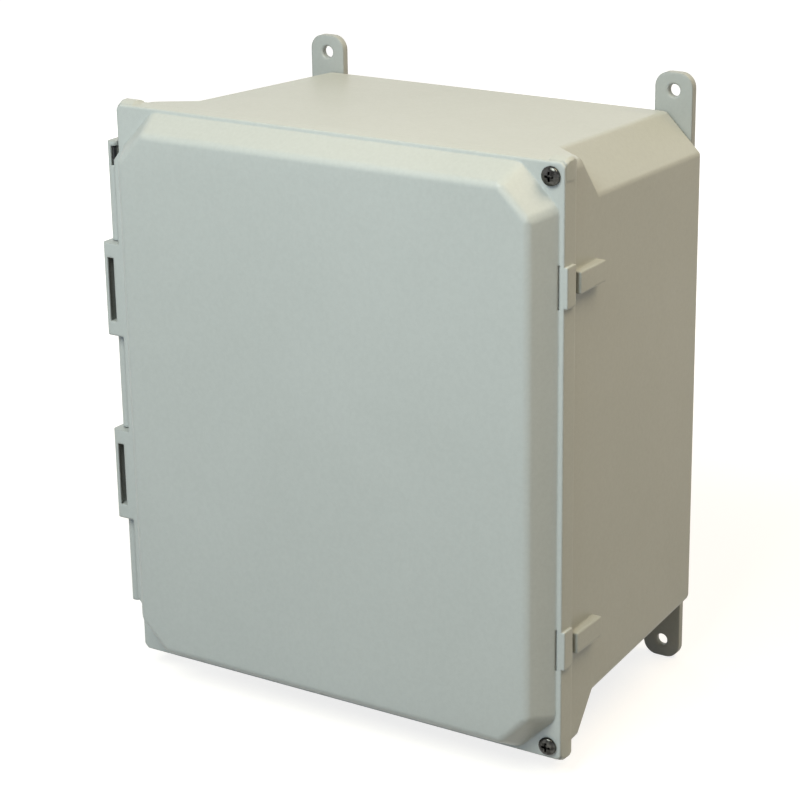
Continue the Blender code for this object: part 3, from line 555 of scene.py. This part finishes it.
ahead = Vector((-math.sin(AZ) * math.cos(EL), math.cos(AZ) * math.cos(EL), -math.sin(EL)))
level = Vector((math.cos(AZ), math.sin(AZ), 0.0))
upright = level.cross(ahead)
right = math.cos(ROLL) * level + math.sin(ROLL) * upright
up = math.cos(ROLL) * upright - math.sin(ROLL) * level
camera_data = bpy.data.cameras.new("camera")
camera_data.sensor_width = SENSOR
camera_data.lens = FOCAL / PHOTO * camera_data.sensor_width
camera_data.shift_x = (PHOTO / 2 - CENTRE[0]) / PHOTO
camera_data.shift_y = (CENTRE[1] - PHOTO / 2) / PHOTO
camera = bpy.data.objects.new("camera", camera_data)
bpy.context.scene.collection.objects.link(camera)
pose = Matrix((right, up, -ahead)).transposed().to_4x4()
stand = -SCALE * (right * OFFSET.x + up * OFFSET.y + ahead * OFFSET.z)
pose.translation = stand + Vector((0.0, FLANGE_Y, 0.0))
camera.matrix_world = pose
bpy.context.scene.camera = camera


def area(name, place, target, size, power, color):
    """A square lamp that faces the target."""
    data = bpy.data.lights.new(name, "AREA")
    data.size = size
    data.energy = power
    data.color = color
    lamp = bpy.data.objects.new(name, data)
    bpy.context.scene.collection.objects.link(lamp)
    lamp.location = place
    lamp.rotation_euler = (Vector(target) - Vector(place)).to_track_quat("-Z", "Y").to_euler()
    return lamp


LAMP_TARGET = Vector((0.0, -0.09, 0.0))
LAMP_DISTANCE = 1.6
LAMP_SIZE = 0.8
# Name, direction from the target, power, colour, and whether glossy surfaces reflect it
LAMPS = (
    ("front_top_lamp", (0.0, -0.7, 0.7), 23.3, (0.936, 1.0, 0.940), True),
    ("top_right_lamp", (0.5, 0.0, 0.87), 12.5, (1.0, 0.837, 0.595), True),
    ("front_fill", (0.0, -1.0, 0.12), 5.2, (0.380, 0.610, 0.96), False),
    ("right_back_lamp", (0.5, 0.5, 0.7), 4.6, (1.0, 0.873, 0.54), True),
    ("left_back_fill", (-0.7, 0.7, 0.2), 8.0, (0.92, 0.97, 1.0), False),
)
for lamp_name, direction, power, color, glare in LAMPS:
    lamp_place = LAMP_TARGET + Vector(direction).normalized() * LAMP_DISTANCE
    lamp = area(lamp_name, lamp_place, LAMP_TARGET, LAMP_SIZE, power, color)
    lamp.visible_glossy = glare


def seen_directly(tree):
    """1 for what the camera sees, also in a mirror or through glass, and 0 for the light on the object."""
    path = tree.nodes.new("ShaderNodeLightPath")
    last = path.outputs["Is Camera Ray"]
    for ray in ("Is Glossy Ray", "Is Transmission Ray"):
        more = tree.nodes.new("ShaderNodeMath")
        more.operation = "MAXIMUM"
        tree.links.new(last, more.inputs[0])
        tree.links.new(path.outputs[ray], more.inputs[1])
        last = more.outputs[0]
    return last


def chosen(tree, lit, shown, into):
    """Joins the shader that lights the object and the one that is seen, by the kind of ray, into a socket."""
    choose = tree.nodes.new("ShaderNodeMixShader")
    tree.links.new(seen_directly(tree), choose.inputs[0])
    tree.links.new(lit, choose.inputs[1])
    tree.links.new(shown, choose.inputs[2])
    tree.links.new(choose.outputs[0], into)


world = bpy.data.worlds.new("studio")
world.use_nodes = True
bpy.context.scene.world = world
tree = world.node_tree
background = tree.nodes["Background"]
background.inputs["Color"].default_value = (1.0, 0.97, 0.90, 1.0)
background.inputs["Strength"].default_value = 0.02
white = tree.nodes.new("ShaderNodeBackground")
white.inputs["Color"].default_value = (1.0, 1.0, 1.0, 1.0)
white.inputs["Strength"].default_value = 1.0
chosen(tree, background.outputs[0], white.outputs[0], tree.nodes["World Output"].inputs["Surface"])

FLOOR_REACH = 6.0
FLOOR_GAP = 0.0005
floor_mesh = bpy.data.meshes.new("floor")
bm = bmesh.new()
bmesh.ops.create_grid(bm, x_segments=1, y_segments=1, size=FLOOR_REACH)
bm.to_mesh(floor_mesh)
bm.free()
floor = bpy.data.objects.new("floor", floor_mesh)
bpy.context.scene.collection.objects.link(floor)
floor.location = (0.0, 0.0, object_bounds()[0][2] - FLOOR_GAP)
ground = Nodes("floor_white")
ground.shader.inputs["Base Color"].default_value = (0.34, 0.32, 0.28, 1.0)
ground.shader.inputs["Roughness"].default_value = 0.95
ground.shader.inputs["Specular IOR Level"].default_value = 0.1
# Under the object the floor is seen a little darker than further out, where it is white
reach = ground.add("ShaderNodeVectorMath", operation="LENGTH")
ground.join(ground.place(), reach.inputs[0])
fade = ground.add("ShaderNodeMapRange", interpolation_type="SMOOTHSTEP")
fade.inputs["From Min"].default_value = 0.15
fade.inputs["From Max"].default_value = 0.70
fade.inputs["To Min"].default_value = 0.80
fade.inputs["To Max"].default_value = 1.0
ground.join(reach.outputs["Value"], fade.inputs["Value"])
glow = ground.add("ShaderNodeEmission")
ground.join(fade.outputs["Result"], glow.inputs["Strength"])
both = ground.add("ShaderNodeAddShader")
ground.join(glow.outputs[0], both.inputs[0])
ground.join(ground.shader.outputs[0], both.inputs[1])
surface = ground.tree.nodes["Material Output"].inputs["Surface"]
chosen(ground.tree, ground.shader.outputs[0], both.outputs[0], surface)
floor_mesh.materials.append(ground.mat)

bpy.context.scene.view_settings.view_transform = "Standard"
